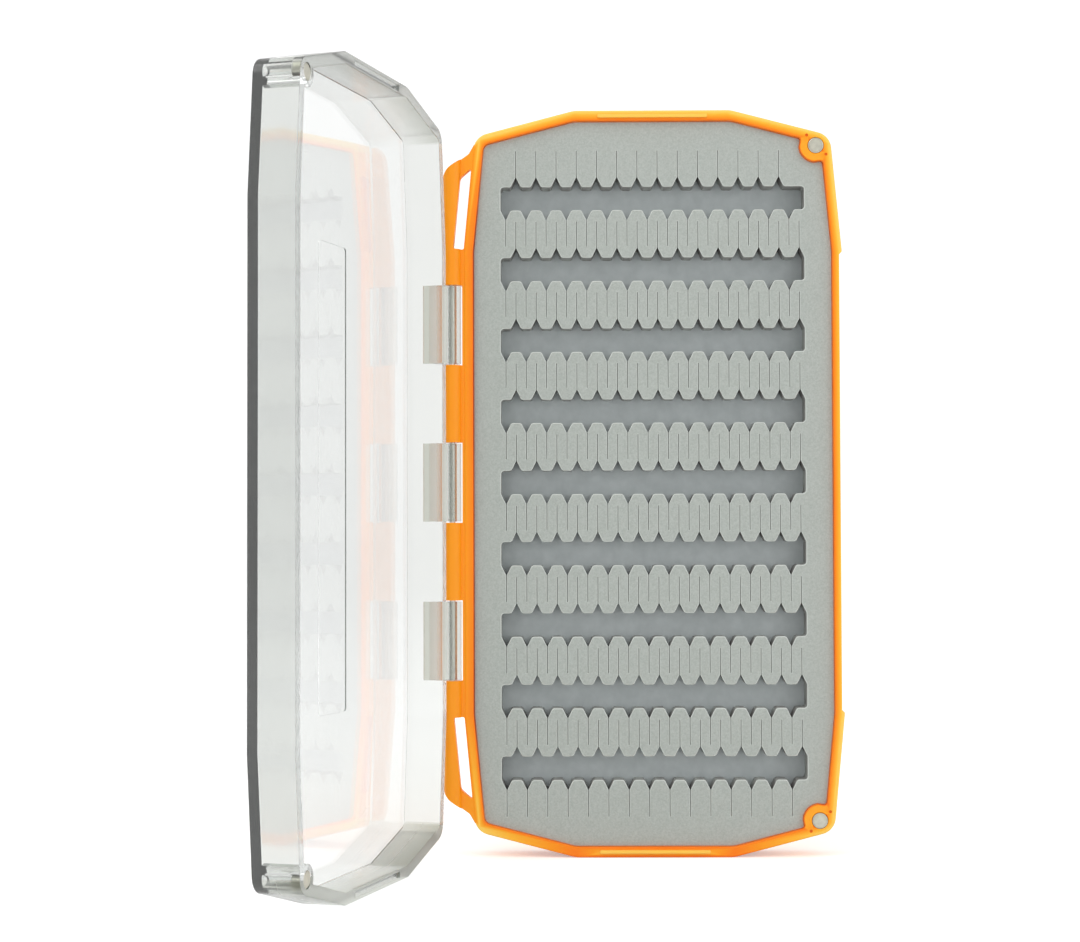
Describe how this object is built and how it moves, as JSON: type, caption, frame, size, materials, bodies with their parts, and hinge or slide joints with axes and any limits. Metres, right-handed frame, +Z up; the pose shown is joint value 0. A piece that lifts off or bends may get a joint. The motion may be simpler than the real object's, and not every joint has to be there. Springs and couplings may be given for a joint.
{
  "type": "fly box",
  "caption": "Slim two-shell case with a clear hinged lid, slit foam that grips hooks, corner magnets that hold it shut and slots for a strap.",
  "frame": {"origin": "middle of the flat end of the tray that the box stands on", "axes": "+Z up along the box's length, +X from the hinge towards the magnets, +Y from the open face to the tray's back"},
  "size_m": [0.1381, 0.1079, 0.19],
  "materials": {
    "base_plastic": "satin moulded plastic",
    "clear_plastic": "clear, light smoke tint",
    "slit_foam": "closed-cell foam, fine matte grain",
    "backing_foam": "smooth skinned foam sheet",
    "adhesive_film": "translucent adhesive film",
    "magnet_metal": "nickel plated",
    "pin_steel": "drawn stainless wire"
  },
  "bodies": {
    "base": {"base_shell": "base_plastic", "slit_foam": "slit_foam", "foam_backing": "backing_foam", "foam_adhesive": "adhesive_film", "base_magnet_upper": "magnet_metal", "base_magnet_lower": "magnet_metal", "hinge_pin": "pin_steel"},
    "lid": {"lid_shell": "clear_plastic", "lid_magnet_upper": "magnet_metal", "lid_magnet_lower": "magnet_metal"}
  },
  "joints": [
    {"name": "lid_hinge", "type": "hinge", "parent": "base", "child": "lid", "pos_m": [-0.0512, -0.006, 0.095], "axis": [0, 0, -1], "range_deg": [-106, 74]}
  ]
}
